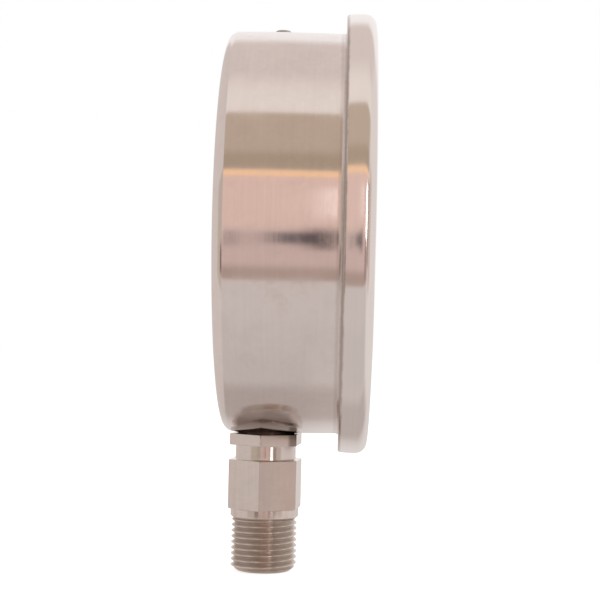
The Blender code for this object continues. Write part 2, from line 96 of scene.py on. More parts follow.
RING_R = ring_high[0]
RING_REAR, RING_FRONT = ring_high[1], ring_low[1]
CASE_FRONT = case_low[1]
FLANGE_R = case_high[0]
CASE_R = 63.05             # case wall at its ends
CASE_CROWN = 0.25          # how much the wall swells at mid-depth
DIAL_R = dial_high[0]
DIAL_REAR, DIAL_FACE = dial_high[1], dial_low[1]

STEM_Y, TUBE_Y, PLUG_Y = -13.3, -12.7, -16.0
STEM_END, BLOCK_TOP = stem_low[2], stem_high[2]
THREAD_TOP, THREAD_R = -90.4, 10.478
COLLAR_TOP = -63.55
STEM_SEGMENTS = 240
HEX_TURN = math.radians(23.9)

DIAL_SCREW_X, DIAL_SCREW_Z = 15.5, -3.0
INK_FACE = DIAL_FACE - 0.05      # print stands a hair proud of the enamel
INK_BACK = DIAL_FACE + 0.02


def wall_radius(y):
    """Outer radius of the crowned case wall."""
    half = -RING_REAR / 2
    offset = (y + half) / half
    return CASE_R + CASE_CROWN * (1 - offset * offset)


# --------------------------------------------------------------------------
# mesh helpers
# --------------------------------------------------------------------------
def shade(mesh, sharp):
    """Smooth shading with edges sharper than `sharp` degrees kept crisp."""
    mesh.shade_smooth()
    mesh.set_sharp_from_angle(angle=math.radians(sharp))


def link_object(name, data):
    ob = bpy.data.objects.new(name, data)
    bpy.context.scene.collection.objects.link(ob)
    return ob


def mesh_object(name, shape, sharp=30.0):
    """Turn a bmesh in millimetres into an object; sharp=None leaves it flat shaded."""
    bmesh.ops.recalc_face_normals(shape, faces=shape.faces)
    bmesh.ops.scale(shape, vec=(MM, MM, MM), verts=shape.verts)
    mesh = bpy.data.meshes.new(name)
    shape.to_mesh(mesh)
    shape.free()
    if sharp is not None:
        shade(mesh, sharp)
    return link_object(name, mesh)


def strip(shape, rings, closed=True):
    """Join successive rings of vertices; a ring of one vertex is a pole."""
    last = len(rings) if closed else len(rings) - 1
    for i in range(last):
        a, b = rings[i], rings[(i + 1) % len(rings)]
        if len(a) == 1 and len(b) == 1:
            continue
        count = max(len(a), len(b))
        for k in range(count):
            m = (k + 1) % count
            if len(a) == 1:
                shape.faces.new((a[0], b[k], b[m]))
            elif len(b) == 1:
                shape.faces.new((a[k], a[m], b[0]))
            else:
                shape.faces.new((a[k], a[m], b[m], b[k]))


def turned(name, profile, axis="Y", at=(0.0, 0.0, 0.0), segments=192, sharp=30.0):
    """Revolve a closed (radius, along) profile about Y or Z."""
    shape = bmesh.new()
    rings = []
    for radius, along in profile:
        row = []
        for k in range(1 if radius < 1e-6 else segments):
            turn = 2 * math.pi * k / segments
            a, b = radius * math.cos(turn), radius * math.sin(turn)
            if axis == "Y":
                place = (at[0] + a, along, at[2] + b)
            else:
                place = (at[0] + a, at[1] + b, along)
            row.append(shape.verts.new(place))
        rings.append(row)
    strip(shape, rings)
    return mesh_object(name, shape, sharp)


def arc(centre_a, centre_b, radius, start, end, steps):
    """Points on an arc between two angles in degrees."""
    angles = [math.radians(start + (end - start) * k / steps) for k in range(steps + 1)]
    return [(centre_a + radius * math.cos(t), centre_b + radius * math.sin(t)) for t in angles]


def extrude(shape, outline, y0, y1):
    """Add a prism with an (x, z) outline between two depths."""
    a = [shape.verts.new((x, y0, z)) for x, z in outline]
    b = [shape.verts.new((x, y1, z)) for x, z in outline]
    shape.faces.new(a)
    shape.faces.new(list(reversed(b)))
    for k in range(len(a)):
        m = (k + 1) % len(a)
        shape.faces.new((a[k], b[k], b[m], a[m]))


def block(name, low, high):
    shape = bmesh.new()
    bmesh.ops.create_cube(shape, size=1.0)
    bmesh.ops.scale(shape, vec=[b - a for a, b in zip(low, high)], verts=shape.verts)
    bmesh.ops.translate(shape, vec=[(a + b) / 2 for a, b in zip(low, high)], verts=shape.verts)
    return mesh_object(name, shape)


def cut(ob, tool, operation="DIFFERENCE"):
    """Apply a boolean and throw the tool away."""
    boolean = ob.modifiers.new("cut", "BOOLEAN")
    boolean.object = tool
    boolean.operation = operation
    boolean.solver = "EXACT"
    graph = bpy.context.evaluated_depsgraph_get()
    mesh = bpy.data.meshes.new_from_object(ob.evaluated_get(graph))
    ob.modifiers.clear()
    ob.data = mesh
    bpy.data.objects.remove(tool, do_unlink=True)


def drill(ob, radius, start, end, segments, axis="Y", at=(0.0, 0.0, 0.0)):
    """Cut a round hole between two places along the axis."""
    rod = [(0, start), (radius, start), (radius, end), (0, end)]
    cut(ob, turned("hole_tool", rod, axis, at, segments))


def cut_slot(ob, low, high, centre, turn):
    """Cut a block turned about Y by `turn` radians and moved to `centre`."""
    tool = block("slot_tool", low, high)
    tool.matrix_world = Matrix.Translation(Vector(centre) * MM) @ Matrix.Rotation(turn, 4, "Y")
    bpy.context.view_layer.update()
    cut(ob, tool)


def paint(ob, material):
    ob.data.materials.clear()
    ob.data.materials.append(material)


def fit(ob, material, replaces=None, ride="gauge_body"):
    """Paint a piece, hide the CAD part it replaces, and attach it to the body it moves with."""
    paint(ob, material)
    if replaces:
        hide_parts(replaces)
    if ride:
        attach(ob, ride)


# --------------------------------------------------------------------------
# shader helpers
# --------------------------------------------------------------------------
class Tree:
    """Writes a node tree; any input may be a number or another node's output."""

    def __init__(self, owner):
        owner.use_nodes = True
        self.nodes = owner.node_tree.nodes
        self.links = owner.node_tree.links
        self.nodes.clear()

    def fill(self, node, inputs):
        """Link or set inputs, keyed by socket name or index."""
        for key, value in inputs.items():
            if isinstance(value, bpy.types.NodeSocket):
                self.links.new(value, node.inputs[key])
            else:
                node.inputs[key].default_value = value

    def node(self, kind, inputs=None, **properties):
        made = self.nodes.new(kind)
        for key, value in properties.items():
            setattr(made, key, value)
        self.fill(made, inputs or {})
        return made

    def math(self, operation, a, b=0.0, c=0.0, clamp=False):
        made = self.node("ShaderNodeMath", {0: a, 1: b, 2: c}, operation=operation,
                         use_clamp=clamp)
        return made.outputs[0]

    def plus(self, a, b, clamp=False):
        return self.math("ADD", a, b, clamp=clamp)

    def minus(self, a, b, clamp=False):
        return self.math("SUBTRACT", a, b, clamp=clamp)

    def times(self, a, b):
        return self.math("MULTIPLY", a, b)

    def times_plus(self, a, b, c, clamp=False):
        return self.math("MULTIPLY_ADD", a, b, c, clamp)

    def vary(self, noise, amount, base, clamp=False):
        """base, moved by the noise's swing about 0.5 times amount."""
        return self.times_plus(self.minus(noise, 0.5), amount, base, clamp)

    def step(self, x, low, high):
        """0 at low, 1 at high, smooth between."""
        inputs = {"Value": x, "From Min": low, "From Max": high}
        made = self.node("ShaderNodeMapRange", inputs, interpolation_type="SMOOTHSTEP")
        return made.outputs["Result"]

    def band(self, x, low, high, soft_low, soft_high):
        """1 between low and high, falling off over the softness at each end."""
        rise = self.step(x, low - soft_low / 2, low + soft_low / 2)
        fall = self.step(x, high - soft_high / 2, high + soft_high / 2)
        return self.minus(rise, fall, clamp=True)

    def mix(self, factor, base, colour):
        """Blend a base colour towards an (r, g, b) colour."""
        # the colour sockets of this node are inputs 6 and 7 and output 2
        inputs = {0: factor, 6: base, 7: (*colour, 1.0)}
        return self.node("ShaderNodeMix", inputs, data_type="RGBA").outputs[2]

    def brighten(self, colour, factor):
        inputs = {0: colour, "Scale": factor}
        return self.node("ShaderNodeVectorMath", inputs, operation="SCALE").outputs[0]

    def noise(self, vector, scale, detail, rough=0.5, distort=0.0):
        inputs = {"Vector": vector, "Scale": scale, "Detail": detail, "Roughness": rough,
                  "Distortion": distort}
        return self.node("ShaderNodeTexNoise", inputs).outputs["Fac"]

    def stretched_noise(self, coords, scales, detail, rough, distort=0.0):
        """Noise over three coordinates, each with its own scale."""
        scaled = [self.times(value, scale) for value, scale in zip(coords, scales)]
        vector = self.node("ShaderNodeCombineXYZ", dict(enumerate(scaled))).outputs[0]
        return self.noise(vector, 1.0, detail, rough, distort)

    def separate(self, vector):
        return self.node("ShaderNodeSeparateXYZ", {0: vector}).outputs

    def object_coords(self):
        return self.node("ShaderNodeTexCoord").outputs["Object"]

    def bump(self, height, strength, distance):
        inputs = {"Strength": strength, "Distance": distance, "Height": height}
        return self.node("ShaderNodeBump", inputs)


def new_material(name):
    material = bpy.data.materials.new(name)
    return material, Tree(material)


def principled(name):
    material, tree = new_material(name)
    bsdf = tree.node("ShaderNodeBsdfPrincipled")
    tree.node("ShaderNodeOutputMaterial", {0: bsdf.outputs[0]})
    return material, tree, bsdf


def lathe_coords(tree, axis, centre):
    """Coordinates about a turning axis, in metres.

    along_less_radius runs across the grooves on walls and faces alike.
    unit_a and unit_b are the direction from the axis.
    """
    position = tree.object_coords()
    offset = tree.node("ShaderNodeVectorMath", {0: position, 1: Vector(centre) * MM},
                       operation="SUBTRACT").outputs[0]
    x, y, z = tree.separate(offset)
    a, b, along = (x, z, y) if axis == "Y" else (x, y, z)
    radius = tree.math("SQRT", tree.plus(tree.times(a, a), tree.times(b, b)))
    safe_radius = tree.math("MAXIMUM", radius, 1e-5)
    return SimpleNamespace(
        along_less_radius=tree.minus(along, radius),
        radius=radius,
        unit_a=tree.math("DIVIDE", a, safe_radius),
        unit_b=tree.math("DIVIDE", b, safe_radius),
        position=position)


def brushed(name, axis, colour, width_along, width_around, streak, tilt, density,
            centre=(0, 0, 0), cloud=0.04, haze=0.25, stain=0.0,
            stain_colour=(0.45, 0.36, 0.29), wander=0.0, marks_and_shade=None):
    """Metal turned or brushed round an axis.

    Fine grooves run round the axis, so reflections spread more along it (width_along)
    than around it (width_around). streak and cloud vary the colour, haze and stain dull
    patches, tilt is the bump of the grooves, wander a slow waviness, density the grooves
    per metre. marks_and_shade(tree, base, lathe) adds local blemishes and painted shade:
    it returns the new base colour and an addition to the roughness.
    """
    rough = math.sqrt(math.sqrt(width_along * width_around))
    groove_rough = 0.3         # share of the roughness that varies from groove to groove
    material, tree, bsdf = principled(name)
    lathe = lathe_coords(tree, axis, centre)
    position = lathe.position

    # grooves: very fine across, long round the axis
    coords = (lathe.along_less_radius, lathe.unit_a, lathe.unit_b)
    groove = tree.stretched_noise(coords, scales=(density, 3.0, 3.0), detail=2.0, rough=0.6)
    wide = tree.stretched_noise(coords, scales=(density * 0.22, 1.6, 1.6), detail=3.0, rough=0.6)
    clouds = tree.noise(position, scale=60.0, detail=5.0, rough=0.62, distort=0.5)
    small = tree.noise(position, scale=260.0, detail=4.0, rough=0.6, distort=0.8)
    fine = tree.noise(position, scale=1400.0, detail=3.0, rough=0.6)

    brightness = 1.0
    for pattern, amount in ((groove, streak), (wide, streak * 1.6), (clouds, cloud * 2.2),
                            (small, cloud)):
        brightness = tree.vary(pattern, amount, brightness)
    base = tree.brighten(colour, brightness)

    dull = 0.0
    if stain:
        spots = tree.times(tree.step(clouds, low=0.50, high=0.72),
                           tree.step(small, low=0.35, high=0.70))
        spots = tree.times(spots, stain)
        base = tree.mix(spots, base, stain_colour)
        stain_dulling = 0.25
        dull = tree.times(spots, stain_dulling)
    if marks_and_shade:
        base, marks_and_shade_dull = marks_and_shade(tree, base, lathe)
        dull = tree.plus(dull, marks_and_shade_dull)

    roughness = tree.vary(groove, groove_rough * rough, rough)
    roughness = tree.times_plus(tree.step(clouds, low=0.42, high=0.75), haze * rough, roughness)

    # relief: the wide grooves, with a little of the narrow ones and of fine grit
    groove_share, fine_share = 0.12, 0.10
    height = tree.times_plus(fine, fine_share, tree.times_plus(groove, groove_share, wide))
    relief = tree.bump(height, strength=tilt, distance=0.00003)
    if wander:
        slow = tree.noise(position, scale=34.0, detail=2.0, rough=0.45)
        waviness = tree.bump(slow, strength=wander, distance=0.0004)
        tree.fill(waviness, {"Normal": relief.outputs[0]})
        relief = waviness

    tangent = tree.node("ShaderNodeTangent", direction_type="RADIAL", axis=axis)
    tree.fill(bsdf, {
        "Base Color": base,
        "Metallic": 1.0,
        "Roughness": tree.plus(roughness, dull, clamp=True),
        "Anisotropic": (1 - width_around / width_along) / 0.9,
        "Anisotropic Rotation": 0.25,
        "Tangent": tangent.outputs[0],
        "Normal": relief.outputs[0],
    })
    return material


def plain_metal(name, colour, rough, grain_scale, bump, variation, stretch=(1, 1, 1)):
    """Satin or drawn metal without a turning axis; stretch scales the grain per axis."""
    patch_rough, grain_rough = 0.2, 0.15       # swing of the roughness
    material, tree, bsdf = principled(name)
    position = tree.object_coords()
    mapping = tree.node("ShaderNodeMapping", {0: position, "Scale": stretch})
    grain = tree.noise(mapping.outputs[0], grain_scale, detail=3.0, rough=0.6)
    patch = tree.noise(position, scale=130.0, detail=3.0, rough=0.55, distort=0.3)
    brightness = tree.vary(patch, variation * 2, tree.vary(grain, variation, 1.0))
    roughness = tree.vary(patch, patch_rough, rough)
    tree.fill(bsdf, {
        "Base Color": tree.brighten(colour, brightness),
        "Metallic": 1.0,
        "Roughness": tree.vary(grain, grain_rough, roughness, clamp=True),
        "Normal": tree.bump(grain, strength=bump, distance=0.00002).outputs[0],
    })
    return material


def coating(name, colour, rough, speck, bump, grain_scale):
    """Paint or rubber: fine texture, slight colour variation (speck)."""
    patch_rough = 0.15                         # swing of the roughness
    material, tree, bsdf = principled(name)
    position = tree.object_coords()
    grain = tree.noise(position, grain_scale, detail=3.0, rough=0.6)
    patch = tree.noise(position, scale=90.0, detail=3.0, rough=0.5, distort=0.2)
    brightness = tree.vary(patch, speck, tree.vary(grain, speck, 1.0))
    tree.fill(bsdf, {
        "Base Color": tree.brighten(colour, brightness),
        "Roughness": tree.vary(patch, patch_rough, rough),
        "Normal": tree.bump(grain, strength=bump, distance=0.00003).outputs[0],
    })
    return material


# --------------------------------------------------------------------------
# local blemishes and painted shade on the turned steel (shader lengths in metres)
# --------------------------------------------------------------------------
def case_marks(tree, base, lathe):
    """Painted shade in the seam behind the ring, and a dull brown halo of painted shade round
    the weld.
    """
    x, y, z = tree.separate(lathe.position)
    ragged = tree.noise(lathe.position, scale=320.0, detail=4.0, rough=0.6, distort=0.4)

    # painted shade: the seam between the case wall and the ring's rear lip is darkened in the
    # base colour
    ragged_seam = -0.0008
    deep_seam, shallow_seam = 0.55, 0.22       # strengths nearest the flange and behind it
    forward = tree.vary(ragged, ragged_seam, tree.times(y, -1.0))
    seam_shade = tree.times_plus(tree.step(forward, low=0.0356, high=0.0366), deep_seam,
                           tree.times(tree.step(forward, low=0.0342, high=0.0352), shallow_seam))
    base = tree.mix(seam_shade, base, (0.34, 0.27, 0.23))

    # painted shade: a squarish oval on the underside round the weld, darkened for the stem's
    # dark reflection and the shade above the collar; its measure is 1 at the rim, less inside
    half_y, half_x = 0.0101, 0.0332
    squareness = 4.0
    ragged_rim = 0.10
    side_y = tree.math("DIVIDE", tree.plus(y, (-STEM_Y + 0.6) * MM), half_y)
    side_x = tree.math("DIVIDE", x, half_x)
    powers = [tree.math("POWER", tree.math("ABSOLUTE", side), squareness)
              for side in (side_y, side_x)]
    oval = tree.math("POWER", tree.plus(*powers), 1 / squareness)
    oval = tree.vary(ragged, ragged_rim, oval)
    below = tree.step(tree.times(z, -1.0), low=0.030, high=0.040)
    halo = tree.times(below, tree.minus(1.0, tree.step(oval, low=0.88, high=1.06)))
    fringe = tree.times(below, tree.minus(1.0, tree.step(oval, low=1.0, high=1.9)))
    # the core, in the narrow gap just above the collar, takes the darkest painted shade
    core = tree.times(halo, tree.step(tree.times(z, -1.0), low=0.0560, high=0.0585))
    core_strength, halo_strength, fringe_strength = 0.50, 0.56, 0.16
    halo = tree.times_plus(core, core_strength, halo)
    painted_weld_shade = tree.times_plus(halo, halo_strength, tree.times(fringe, fringe_strength),
                               clamp=True)
    base = tree.mix(painted_weld_shade, base, (0.27, 0.215, 0.19))
    seam_dulling = 0.25
    return base, tree.times(seam_shade, seam_dulling)


def ring_marks(tree, base, lathe):
    """Painted shade along the rolled rear edge of the ring, where it meets the case, twice as
    strong at its outside.
    """
    ragged_edge = 0.0007
    inner_strength, outer_extra = 0.35, 0.35
    dulling = 0.10
    y = tree.separate(lathe.position)[1]
    ragged = tree.noise(lathe.position, scale=240.0, detail=4.0, rough=0.6, distort=0.4)
    # painted shade: the ring's rear edge is darkened in the base colour
    rear = tree.step(tree.vary(ragged, ragged_edge, y),
                     low=(RING_REAR - 1.05) * MM, high=(RING_REAR - 0.35) * MM)
    outer = tree.step(lathe.radius, low=(CASE_R + 3.5) * MM, high=(CASE_R + 4.5) * MM)
    strength = tree.times_plus(outer, outer_extra, inner_strength)
    base = tree.mix(tree.times(rear, strength), base, (0.32, 0.26, 0.225))
    return base, tree.times(rear, dulling)


def stem_marks(tree, base, lathe):
    """Drip film and lines on the hex, with painted shade on the collar and brown painted shade
    in the thread roots.
    """
    x, y, z = tree.separate(lathe.position)
    down = tree.times(z, -1.0)

    # film running down the stem, stronger low down
    film_top, film_gain, film_dulling = 0.03, 0.36, 0.04
    drip = tree.stretched_noise((lathe.unit_a, lathe.unit_b, z), scales=(4.0, 4.0, 22.0),
                                detail=3.0, rough=0.55, distort=0.3)
    low_down = tree.step(down, low=0.078, high=0.096)
    film = tree.times(tree.step(drip, low=0.44, high=0.74),
                      tree.times_plus(low_down, film_gain, film_top))
    base = tree.mix(film, base, (0.50, 0.425, 0.35))

    # faint upright lines on the hex
    line_strength = 0.09
    on_hex = tree.band(down, low=0.0720, high=0.0872, soft_low=0.0002, soft_high=0.0002)
    lines = tree.stretched_noise((x, y, z), scales=(2600.0, 2600.0, 30.0), detail=2.0, rough=0.6)
    lines = tree.times(tree.step(lines, low=0.40, high=0.75), line_strength)
    base = tree.mix(tree.times(on_hex, lines), base, (0.52, 0.43, 0.385))

    # painted shade: the collar's dial-side corner is darkened in the base colour, for a dark
    # reflection of the ring's underside
    collar_shade_strength = 0.75
    forward = tree.times(tree.plus(y, -STEM_Y * MM), -1.0)
    collar_shade = tree.times(
        tree.band(forward, low=0.0076, high=0.0100, soft_low=0.0016, soft_high=0.0001),
        tree.step(down, low=0.0673, high=0.0671))
    base = tree.mix(tree.times(collar_shade, collar_shade_strength), base, (0.20, 0.165, 0.15))

    # painted shade in the roots of the thread: brown, by depth below the crests
    root_shade_strength, root_dulling = 0.48, 0.20
    depth = tree.minus(THREAD_R * MM, lathe.radius)
    on_thread = tree.step(tree.times(z, -1.0), low=-THREAD_TOP * MM - 0.0006,
                          high=-THREAD_TOP * MM)
    root_shade = tree.times(tree.step(depth, low=0.00004, high=0.00030), on_thread)
    base = tree.mix(tree.times(root_shade, root_shade_strength), base, (0.50, 0.415, 0.345))
    return base, tree.times_plus(film, film_dulling, tree.times(root_shade, root_dulling))


# --------------------------------------------------------------------------
# materials
# --------------------------------------------------------------------------
BRASS_COLOUR = (0.80, 0.62, 0.33)

CASE_STEEL = brushed(
    "case_brushed_steel", "Y", colour=(0.89, 0.84, 0.82), width_along=0.010,
    width_around=0.009, streak=0.040, cloud=0.095, haze=0.50, stain=0.20, tilt=0.11,
    wander=0.05, density=5200.0, marks_and_shade=case_marks)
RING_STEEL = brushed(
    "ring_polished_steel", "Y", colour=(0.91, 0.87, 0.85), width_along=0.020,
    width_around=0.010, streak=0.035, cloud=0.025, haze=0.30, stain=0.06, tilt=0.10,
    density=5200.0, marks_and_shade=ring_marks)
STEM_STEEL = brushed(
    "stem_machined_steel", "Z", centre=(0, STEM_Y, 0), colour=(0.80, 0.74, 0.70),
    width_along=0.070, width_around=0.010, streak=0.06, cloud=0.07, haze=0.25, stain=0.20,
    stain_colour=(0.50, 0.42, 0.36), tilt=0.10, density=3800.0, marks_and_shade=stem_marks)
WELD_STEEL = plain_metal("weld_steel", colour=(0.34, 0.30, 0.28), rough=0.38,
                         grain_scale=1800.0, bump=0.5, variation=0.25)
SCREW_STEEL = plain_metal("fastener_steel", colour=(0.62, 0.61, 0.60), rough=0.30,
                          grain_scale=3000.0, bump=0.15, variation=0.10)
BRASS = plain_metal("movement_brass", colour=BRASS_COLOUR, rough=0.32,
                    grain_scale=2600.0, bump=0.20, variation=0.10, stretch=(1, 8, 1))
BRONZE = plain_metal("tube_bronze", colour=(0.70, 0.48, 0.28), rough=0.30,
                     grain_scale=2200.0, bump=0.20, variation=0.14)
RUBBER = coating("seal_rubber", colour=(0.030, 0.030, 0.032), rough=0.62,
                 speck=0.3, bump=0.5, grain_scale=1600.0)
PLUG_RUBBER = coating("plug_rubber", colour=(0.40, 0.40, 0.40), rough=0.55,
                      speck=0.15, bump=0.5, grain_scale=1600.0)
DIAL_WHITE = coating("dial_enamel_white", colour=(0.88, 0.88, 0.86), rough=0.42,
                     speck=0.02, bump=0.06, grain_scale=2600.0)
PRINT_BLACK = coating("dial_print_black", colour=(0.016, 0.016, 0.017), rough=0.50,
                      speck=0.15, bump=0.10, grain_scale=2600.0)
POINTER_BLACK = coating("pointer_black_lacquer", colour=(0.018, 0.018, 0.019), rough=0.36,
                        speck=0.15, bump=0.12, grain_scale=2400.0)


def window_glass():
    """Clear flat glass: straight-through light plus a surface reflection."""
    clean_rough, wiped_extra = 0.012, 0.03
    reflection, dust_amount = 0.85, 0.010
    material, tree = new_material("window_safety_glass")
    position = tree.object_coords()
    clear = tree.node("ShaderNodeBsdfTransparent", {0: (0.975, 0.985, 0.980, 1)})
    wipe = tree.noise(position, scale=45.0, detail=4.0, rough=0.6, distort=0.6)
    roughness = tree.times_plus(tree.step(wipe, low=0.45, high=0.8), wiped_extra, clean_rough)
    gloss = tree.node("ShaderNodeBsdfGlossy", {"Roughness": roughness, "Color": (1, 1, 1, 1)})
    fresnel = tree.node("ShaderNodeFresnel", {"IOR": 1.45}).outputs[0]
    specks = tree.noise(position, scale=420.0, detail=4.0, rough=0.7)
    dust = tree.times(tree.step(specks, low=0.62, high=0.9), dust_amount)
    # reflect only on entering: the unbent ray would mirror inside the pane
    backfacing = tree.node("ShaderNodeNewGeometry").outputs["Backfacing"]
    mirrored = tree.times(fresnel, tree.minus(1.0, backfacing))
    factor = tree.plus(tree.times(mirrored, reflection), dust, clamp=True)
    mixed = tree.node("ShaderNodeMixShader",
                      {0: factor, 1: clear.outputs[0], 2: gloss.outputs[0]})
    tree.node("ShaderNodeOutputMaterial", {0: mixed.outputs[0]})
    return material


GLASS = window_glass()


# --------------------------------------------------------------------------
# case, ring and window
# --------------------------------------------------------------------------
def build_case():
    """Drawn cup: crowned wall, rounded back corner, front flange."""
    corner = 3.4                 # outer radius of the back corner
    sheet = 1.2                  # wall thickness
    back_extra = 0.2             # the back is this much thicker than the wall
    inner_r = CASE_R - sheet
    flange_rear = RING_REAR - 1.2
    fillet = 2.35                # from the wall out to the flange
    wall_end = flange_rear + fillet
    wall_steps = 44

    # closed outline, (radius, y): back, wall, flange, then the inside
    profile = [(0, 0.0), (20, 0.0), (40, 0.0), (54, 0.0)]
    profile += arc(wall_radius(-corner) - corner, -corner, corner, 90, 0, 14)
    for k in range(1, wall_steps + 1):
        y = -corner + (wall_end + corner) * k / wall_steps
        profile.append((wall_radius(y), y))
    profile += arc(wall_radius(wall_end) + fillet, wall_end, fillet, 186, 270, 14)
    profile += [
        (FLANGE_R - 0.3, flange_rear), (FLANGE_R, flange_rear - 0.2),
        (FLANGE_R, CASE_FRONT + 0.2), (FLANGE_R - 0.3, CASE_FRONT),
        (CASE_R - 0.2, CASE_FRONT), (inner_r, CASE_FRONT + 0.9),
        (inner_r, -corner - back_extra),
    ]
    profile += arc(CASE_R - corner, -corner - back_extra, corner - sheet, 0, 90, 6)
    profile += [(0, -sheet - back_extra)]
    case = turned("case_shell", profile, segments=288, sharp=38)
    drill(case, radius=9.8, start=-72, end=-50, segments=96, axis="Z", at=(0, STEM_Y, 0))
    drill(case, radius=2.2, start=50, end=75, segments=64, axis="Z", at=(0, PLUG_Y, 0))
    fit(case, CASE_STEEL, replaces="case")


def build_ring():
    """Bezel ring: rolled rear edge, crowned outer face, rounded front."""
    rear_round, front_round = 0.9, 3.5
    crown_r = 37.0               # radius of the outer face's crown
    crown_y = (RING_REAR + RING_FRONT) / 2 - 0.25
    lip_r = 60.5                 # opening over the window
    lip_round = 0.5
    crown_steps = 12

    def face_radius(y):
        return RING_R - (y - crown_y) ** 2 / (2 * crown_r)

    rear_y, front_y = RING_REAR - rear_round, RING_FRONT + front_round
    # closed outline, (radius, y)
    profile = arc(face_radius(rear_y) - rear_round, rear_y, rear_round, 90, 0, 9)
    for k in range(1, crown_steps):
        y = rear_y + (front_y - rear_y) * k / crown_steps
        profile.append((face_radius(y), y))
    profile += arc(face_radius(front_y) - front_round, front_y, front_round, 0, -90, 15)
    profile += [(lip_r + 0.55, RING_FRONT)]
    profile += arc(lip_r + lip_round, RING_FRONT + lip_round, lip_round, 270, 180, 5)
    profile += [
        (lip_r, RING_FRONT + 1.0), (lip_r + 0.25, RING_FRONT + 1.2),
        (RING_R - 1.6, RING_FRONT + 1.2), (RING_R - 1.25, RING_FRONT + 1.7),
        (RING_R - 1.25, RING_REAR - 1.2), (RING_R - 1.6, RING_REAR - 0.9),
        (CASE_R + 1.65, RING_REAR - 0.9), (CASE_R + 1.45, RING_REAR - 0.7),
        (CASE_R + 1.45, RING_REAR - 0.25), (CASE_R + 1.7, RING_REAR),
    ]
    ring = turned("bezel_ring_rolled", profile, segments=288, sharp=38)
    fit(ring, RING_STEEL, replaces="bezel_ring")


def build_window():
    radius, rear, front = glass_high[0], glass_high[1], glass_low[1]
    chamfer = 0.3
    profile = [(0, rear), (radius - chamfer, rear), (radius, rear - chamfer),
               (radius, front + chamfer), (radius - chamfer, front), (0, front)]
    fit(turned("window_pane", profile, sharp=25), GLASS, replaces="window_glass")


def build_gasket():
    """Flat ring with rounded edges."""
    outer, rear, front = gasket_high[0], gasket_high[1], gasket_low[1]
    inner = 61.5
    edge = 0.35
    profile = (arc(outer - edge, rear - edge, edge, 90, 0, 4)
               + arc(outer - edge, front + edge, edge, 0, -90, 4)
               + arc(inner + edge, front + edge, edge, 270, 180, 4)
               + arc(inner + edge, rear - edge, edge, 180, 90, 4))
    gasket = turned("window_gasket_ring", profile, segments=144, sharp=60)
    fit(gasket, RUBBER, replaces="window_gasket")


# --------------------------------------------------------------------------
# stem: thread, turned land, hex, neck, collar, spigot and socket block
# --------------------------------------------------------------------------
PITCH = 25.4 / 14
THREAD_DEPTH = 1.162
END_R = 8.57                     # radius of the thread's end face


def thread(z):
    """Radius round the helical thread at height z."""
    chamfer = END_R + (z - STEM_END) * 1.25
    fade = min(1.0, max(0.0, (THREAD_TOP - 0.1 - z) / 1.5))      # run-out at the top

    def radius(turn):
        phase = (z / PITCH - turn / (2 * math.pi)) % 1.0
        from_crest = abs(phase - 0.5) * 2                        # 0 crest, 1 root
        depth = THREAD_DEPTH * min(1.0, max(0.0, (from_crest - 0.10) / 0.82))
        cut_r = THREAD_R - depth * (0.55 + 0.45 * fade) - (1 - fade) * 0.25
        return min(cut_r, chamfer)
    return radius


def circle(radius):
    return lambda turn: radius


def hexagon(flats, inset=0.0, cap=math.inf):
    """A hexagon across `flats`, drawn in by inset, its corners rounded off at cap."""
    def radius(turn):
        angle = (turn - HEX_TURN + math.pi / 6) % (math.pi / 3) - math.pi / 6
        return min(flats / 2 / math.cos(angle) - inset, cap)
    return radius


def thread_levels():
    """(z, radius function) from the blind bore in the end face up to the land."""
    levels = [(-91.6, circle(1.5)), (-92.6, circle(3.5)), (STEM_END + 0.4, circle(3.5)),
              (STEM_END, circle(3.9)), (STEM_END, circle(END_R))]
    z = STEM_END + 0.12
    while z < THREAD_TOP - 0.06:
        levels.append((z, thread(z)))
        z += 0.125
    return levels + [(THREAD_TOP - 0.02, circle(9.85)), (THREAD_TOP, circle(10.15)),
                     (THREAD_TOP + 0.55, circle(10.78)), (THREAD_TOP + 0.75, circle(10.85))]


def hex_levels(bottom, top, flats=21.6):
    levels = [(bottom - 0.25, circle(10.85)), (bottom, circle(10.88)),
              (bottom, hexagon(flats, inset=0.12, cap=12.12))]
    for rise in (0.08, 0.16, 0.26, 0.4, 0.55):
        levels.append((bottom + rise, hexagon(flats, cap=12.12 + rise)))
    for rise in (2.0, 5.0, 8.0, 11.0, 14.0):
        levels.append((bottom + rise, hexagon(flats)))
    return levels + [(top - 0.45, hexagon(flats)),
                     (top - 0.25, hexagon(flats, cap=12.48)),
                     (top - 0.08, hexagon(flats, inset=0.03, cap=12.38)),
                     (top, hexagon(flats, inset=0.12, cap=12.24))]


def neck_levels(bottom, top, radius=9.6, fillet=0.35):
    """Round neck between the hex and the collar, with a fillet at its foot."""
    levels = [(z, circle(r))
              for r, z in arc(radius + fillet, bottom + fillet, fillet, 270, 180, 5)]
    start, end = bottom + fillet, top - 0.25
    for k in range(1, 5):
        levels.append((start + (end - start) * k / 4, circle(radius)))
    return levels + [(top - 0.08, circle(9.68)), (top, circle(9.85))]


def collar_levels(bottom, top, flats=21.3):
    """Collar with well-rounded corners, then the round spigot above it."""
    body = hexagon(flats, cap=12.35)
    edge = hexagon(flats, inset=0.04, cap=12.2)
    return [(bottom, hexagon(flats, inset=0.18, cap=12.0)), (bottom + 0.10, edge),
            (bottom + 0.30, body), (bottom + 1.8, body), (top - 0.30, body),
            (top - 0.10, edge), (top, hexagon(flats, inset=0.18, cap=12.2)),
            (top, circle(8.6)), (top + 0.3, circle(8.2)), (-59.8, circle(8.2)),
            (-59.5, circle(7.9))]


